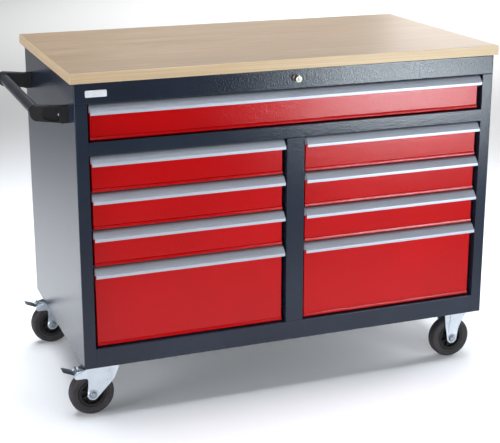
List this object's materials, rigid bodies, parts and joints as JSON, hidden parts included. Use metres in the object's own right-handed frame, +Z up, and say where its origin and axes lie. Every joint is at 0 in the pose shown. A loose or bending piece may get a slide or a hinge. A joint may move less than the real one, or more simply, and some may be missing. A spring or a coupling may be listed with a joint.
{
  "type": "rolling tool chest",
  "caption": "Steel tool chest on casters with sliding drawers behind full-width grips, a wooden worktop, a side push handle and a central lock.",
  "frame": {"origin": "on the floor under the centre of the footprint, handle and worktop overhangs included", "axes": "+Z up, the drawer fronts face -Y, the push handle is at the -X end"},
  "size_m": [1.3394, 0.7006, 0.9673],
  "materials": {
    "worktop": "oiled beech multiplex",
    "cabinet": "satin anthracite powder coat",
    "drawer_red": "semi-gloss red powder coat",
    "tray": "satin dark grey powder coat",
    "grip": "satin anodised",
    "zinc": "bright zinc plate",
    "black_plastic": "fine-textured black nylon",
    "handle_tube": "satin grey-black coating",
    "tyre": "matt grey-black",
    "nickel": "bright nickel plate"
  },
  "bodies": {
    "cabinet": {"worktop": "worktop", "left_side_panel": "cabinet", "right_side_panel": "cabinet", "back_panel": "cabinet", "floor_pan": "cabinet", "top_rail": "cabinet", "mid_rail": "cabinet", "centre_partition": "cabinet", "lock_housing": "nickel", "handle_bracket_front": "black_plastic", "handle_bracket_rear": "black_plastic", "handle_tube": "handle_tube", "caster_plate_front_left": "zinc", "caster_plate_rear_left": "zinc", "fixed_fork_front_right": "zinc", "fixed_fork_rear_right": "zinc", "axle_front_right": "zinc", "axle_rear_right": "zinc"},
    "drawer_top": {"tray_top": "tray", "front_top": "drawer_red", "grip_top": "grip"},
    "drawer_left_1": {"tray_left_1": "tray", "front_left_1": "drawer_red", "grip_left_1": "grip"},
    "drawer_right_1": {"tray_right_1": "tray", "front_right_1": "drawer_red", "grip_right_1": "grip"},
    "drawer_left_2": {"tray_left_2": "tray", "front_left_2": "drawer_red", "grip_left_2": "grip"},
    "drawer_right_2": {"tray_right_2": "tray", "front_right_2": "drawer_red", "grip_right_2": "grip"},
    "drawer_left_3": {"tray_left_3": "tray", "front_left_3": "drawer_red", "grip_left_3": "grip"},
    "drawer_right_3": {"tray_right_3": "tray", "front_right_3": "drawer_red", "grip_right_3": "grip"},
    "drawer_left_4": {"tray_left_4": "tray", "front_left_4": "drawer_red", "grip_left_4": "grip"},
    "drawer_right_4": {"tray_right_4": "tray", "front_right_4": "drawer_red", "grip_right_4": "grip"},
    "fork_front_left": {"swivel_fork_front_left": "zinc", "axle_front_left": "zinc"},
    "pedal_front_left": {"brake_pedal_front_left": "zinc"},
    "fork_rear_left": {"swivel_fork_rear_left": "zinc", "axle_rear_left": "zinc"},
    "pedal_rear_left": {"brake_pedal_rear_left": "zinc"},
    "wheel_front_left": {"rim_front_left": "black_plastic", "tyre_front_left": "tyre"},
    "wheel_rear_left": {"rim_rear_left": "black_plastic", "tyre_rear_left": "tyre"},
    "wheel_front_right": {"rim_front_right": "black_plastic", "tyre_front_right": "tyre"},
    "wheel_rear_right": {"rim_rear_right": "black_plastic", "tyre_rear_right": "tyre"},
    "lock_core": {"lock_plug": "nickel"}
  },
  "joints": [
    {"name": "drawer_top_slide", "type": "slide", "parent": "cabinet", "child": "drawer_top", "axis": [0, -1, 0], "range_m": [0, 0.48]},
    {"name": "drawer_left_1_slide", "type": "slide", "parent": "cabinet", "child": "drawer_left_1", "axis": [0, -1, 0], "range_m": [0, 0.48]},
    {"name": "drawer_right_1_slide", "type": "slide", "parent": "cabinet", "child": "drawer_right_1", "axis": [0, -1, 0], "range_m": [0, 0.48]},
    {"name": "drawer_left_2_slide", "type": "slide", "parent": "cabinet", "child": "drawer_left_2", "axis": [0, -1, 0], "range_m": [0, 0.48]},
    {"name": "drawer_right_2_slide", "type": "slide", "parent": "cabinet", "child": "drawer_right_2", "axis": [0, -1, 0], "range_m": [0, 0.48]},
    {"name": "drawer_left_3_slide", "type": "slide", "parent": "cabinet", "child": "drawer_left_3", "axis": [0, -1, 0], "range_m": [0, 0.48]},
    {"name": "drawer_right_3_slide", "type": "slide", "parent": "cabinet", "child": "drawer_right_3", "axis": [0, -1, 0], "range_m": [0, 0.48]},
    {"name": "drawer_left_4_slide", "type": "slide", "parent": "cabinet", "child": "drawer_left_4", "axis": [0, -1, 0], "range_m": [0, 0.48]},
    {"name": "drawer_right_4_slide", "type": "slide", "parent": "cabinet", "child": "drawer_right_4", "axis": [0, -1, 0], "range_m": [0, 0.48]},
    {"name": "fork_front_left_swivel", "type": "hinge", "parent": "cabinet", "child": "fork_front_left", "pos_m": [-0.49825, -0.28475, 0.1455], "axis": [0, 0, 1], "continuous": true},
    {"name": "pedal_front_left_tilt", "type": "hinge", "parent": "fork_front_left", "child": "pedal_front_left", "pos_m": [-0.54625, -0.28475, 0.13], "axis": [0, 1, 0], "range_deg": [-9, 0]},
    {"name": "fork_rear_left_swivel", "type": "hinge", "parent": "cabinet", "child": "fork_rear_left", "pos_m": [-0.49825, 0.25425, 0.1455], "axis": [0, 0, 1], "continuous": true},
    {"name": "pedal_rear_left_tilt", "type": "hinge", "parent": "fork_rear_left", "child": "pedal_rear_left", "pos_m": [-0.54625, 0.25425, 0.13], "axis": [0, 1, 0], "range_deg": [-9, 0]},
    {"name": "wheel_front_left_spin", "type": "hinge", "parent": "fork_front_left", "child": "wheel_front_left", "pos_m": [-0.54325, -0.28475, 0.0625], "axis": [0, 1, 0], "continuous": true},
    {"name": "wheel_rear_left_spin", "type": "hinge", "parent": "fork_rear_left", "child": "wheel_rear_left", "pos_m": [-0.54325, 0.25425, 0.0625], "axis": [0, 1, 0], "continuous": true},
    {"name": "wheel_front_right_spin", "type": "hinge", "parent": "cabinet", "child": "wheel_front_right", "pos_m": [0.58075, -0.28475, 0.0625], "axis": [0, 1, 0], "continuous": true},
    {"name": "wheel_rear_right_spin", "type": "hinge", "parent": "cabinet", "child": "wheel_rear_right", "pos_m": [0.58075, 0.25425, 0.0625], "axis": [0, 1, 0], "continuous": true},
    {"name": "lock_turn", "type": "hinge", "parent": "cabinet", "child": "lock_core", "pos_m": [0.04475, -0.33375, 0.913], "axis": [0, 1, 0], "range_deg": [0, 90]}
  ]
}
